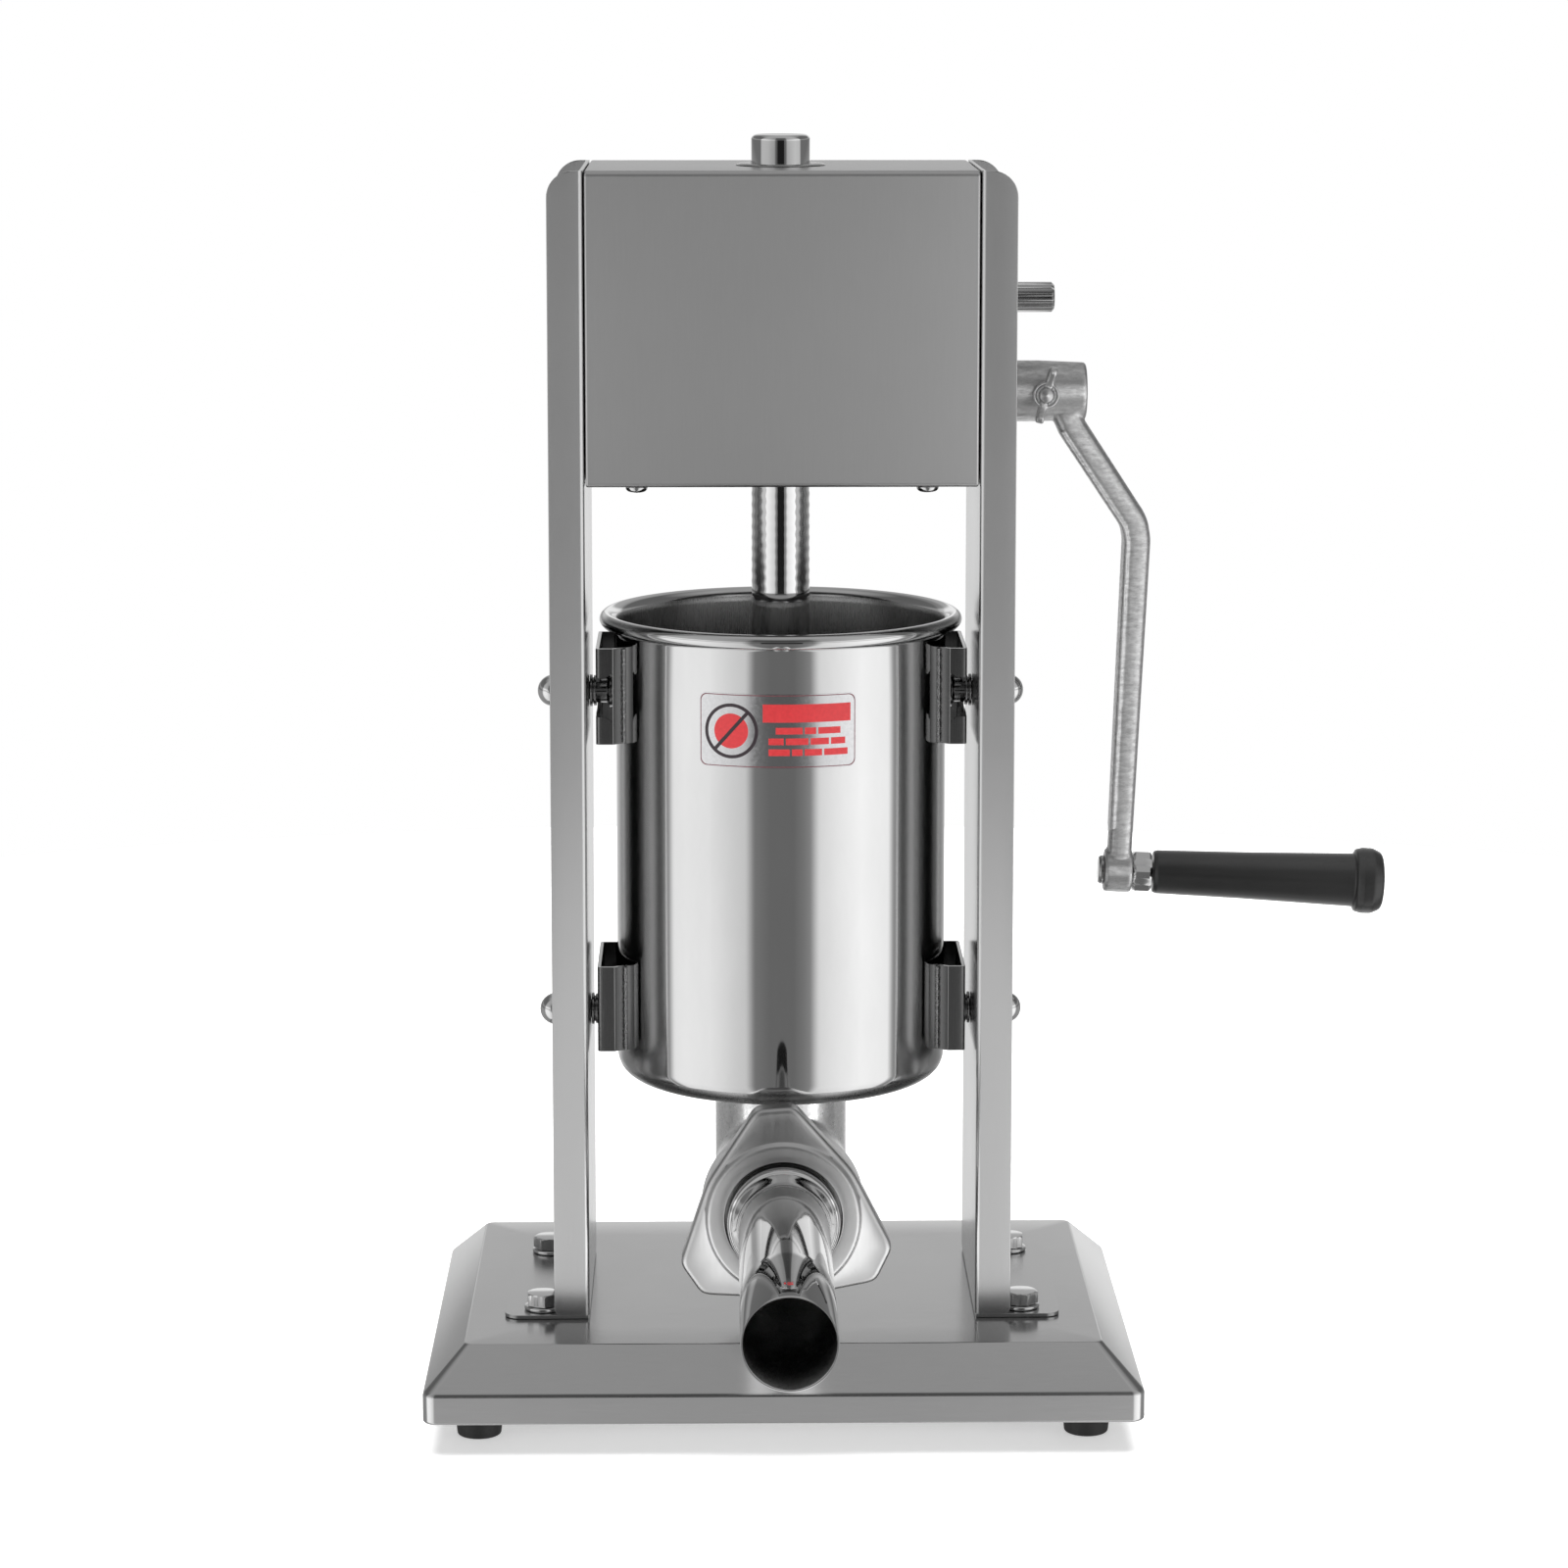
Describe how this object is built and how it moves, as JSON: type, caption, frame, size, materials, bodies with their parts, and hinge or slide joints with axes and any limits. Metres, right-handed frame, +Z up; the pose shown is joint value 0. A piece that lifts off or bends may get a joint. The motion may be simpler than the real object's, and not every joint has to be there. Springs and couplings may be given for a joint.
{
  "type": "sausage stuffer",
  "caption": "Hand-cranked vertical sausage stuffer: barrel with filling nozzle between two uprights, a geared rack rod with piston above it, on a pressed steel base.",
  "frame": {"origin": "bottom centre of the bounding box, on the floor under the feet; the barrel's axis is 57 mm to -X and 73.5 mm to +Y of it", "axes": "+Z up, -Y towards the nozzle and the front, +X towards the crank"},
  "size_m": [0.4158, 0.377, 0.5464],
  "materials": {
    "brushed_sheet": "fine brushed stainless sheet",
    "rubber": "matt black",
    "bright_fasteners": "bright stainless",
    "plain_steel": "turned steel",
    "dark_bush": "oiled dark",
    "shaft_bush": "white nylon",
    "chrome": "mirror",
    "polished_steel": "mirror-polished stainless",
    "welded_outlet": "polished by hand",
    "dark_bracket": "dark stainless",
    "cast_aluminium": "brushed casting",
    "valve_plastic": "white nylon",
    "grip_plastic": "gloss black"
  },
  "bodies": {
    "frame": {"base_pan": "brushed_sheet", "upright_left": "brushed_sheet", "upright_right": "brushed_sheet", "gearbox_cover": "brushed_sheet", "gearbox_floor": "brushed_sheet", "foot_front_left": "rubber", "foot_front_right": "rubber", "foot_back_left": "rubber", "foot_back_right": "rubber", "nozzle_gasket": "rubber", "base_bolt_front_left": "bright_fasteners", "base_bolt_front_right": "bright_fasteners", "base_bolt_back_left": "bright_fasteners", "base_bolt_back_right": "bright_fasteners", "base_washer_front_left": "bright_fasteners", "base_washer_front_right": "bright_fasteners", "base_washer_back_left": "bright_fasteners", "base_washer_back_right": "bright_fasteners", "gearbox_screw_front_left": "bright_fasteners", "gearbox_screw_front_right": "bright_fasteners", "gearbox_screw_back_left": "bright_fasteners", "gearbox_screw_back_right": "bright_fasteners", "acorn_nut_upper_left": "bright_fasteners", "acorn_nut_upper_right": "bright_fasteners", "acorn_nut_lower_left": "bright_fasteners", "acorn_nut_lower_right": "bright_fasteners", "nut_strip_left": "plain_steel", "nut_strip_right": "plain_steel", "pivot_stud_upper_left": "plain_steel", "pivot_stud_upper_right": "plain_steel", "pivot_stud_lower_left": "plain_steel", "pivot_stud_lower_right": "plain_steel", "rod_guide_top": "dark_bush", "rod_guide_bottom": "dark_bush", "shaft_bush_fast_left": "shaft_bush", "shaft_bush_fast_right": "shaft_bush", "shaft_bush_slow_left": "shaft_bush", "shaft_bush_slow_right": "shaft_bush", "nozzle": "chrome", "barrel": "polished_steel", "outlet_elbow": "welded_outlet", "bracket_upper_left": "dark_bracket", "bracket_upper_right": "dark_bracket", "bracket_lower_left": "dark_bracket", "bracket_lower_right": "dark_bracket"},
    "crank": {"crank_arm": "cast_aluminium", "handle_axle": "plain_steel", "handle_lock_nut": "bright_fasteners", "slow_shaft": "plain_steel", "slow_pinion": "plain_steel"},
    "grip": {"handle_grip": "grip_plastic"},
    "clamp_screw": {"wing_screw": "cast_aluminium"},
    "fast_train": {"fast_shaft": "plain_steel", "drive_gear": "plain_steel", "rack_pinion": "plain_steel"},
    "piston": {"piston_rod": "chrome", "piston_plate": "polished_steel", "piston_seal": "rubber"},
    "valve": {"air_valve": "valve_plastic"},
    "nut": {"nozzle_nut": "cast_aluminium"}
  },
  "joints": [
    {"name": "crank_turn", "type": "hinge", "parent": "frame", "child": "crank", "pos_m": [-0.057, 0.0925, 0.4355], "axis": [1, 0, 0], "range_deg": [0, 2520]},
    {"name": "fast_shaft_turn", "type": "hinge", "parent": "frame", "child": "fast_train", "pos_m": [-0.057, 0.0925, 0.476], "axis": [1, 0, 0], "range_deg": [-1062, 0]},
    {"name": "piston_travel", "type": "slide", "parent": "frame", "child": "piston", "axis": [0, 0, 1], "range_m": [0, 0.1945]},
    {"name": "grip_spin", "type": "hinge", "parent": "crank", "child": "grip", "pos_m": [0.091, 0.0925, 0.2247], "axis": [0.999, 0, -0.0454], "continuous": true},
    {"name": "clamp_screw_turn", "type": "hinge", "parent": "crank", "child": "clamp_screw", "pos_m": [0.0565, 0.0925, 0.4355], "axis": [0, -1, 0], "range_deg": [0, 360]},
    {"name": "nozzle_nut_turn", "type": "hinge", "parent": "frame", "child": "nut", "pos_m": [-0.057, -0.0065, 0.098], "axis": [0, -1, 0], "range_deg": [0, 720]},
    {"name": "air_valve_lift", "type": "slide", "parent": "piston", "child": "valve", "axis": [0, 0, 1], "range_m": [0, 0.003]}
  ],
  "couplings": [
    {"joint": "fast_shaft_turn", "follows": "crank_turn", "ratio": -0.42105},
    {"joint": "piston_travel", "follows": "crank_turn", "m_per_rad": 0.0044211}
  ]
}
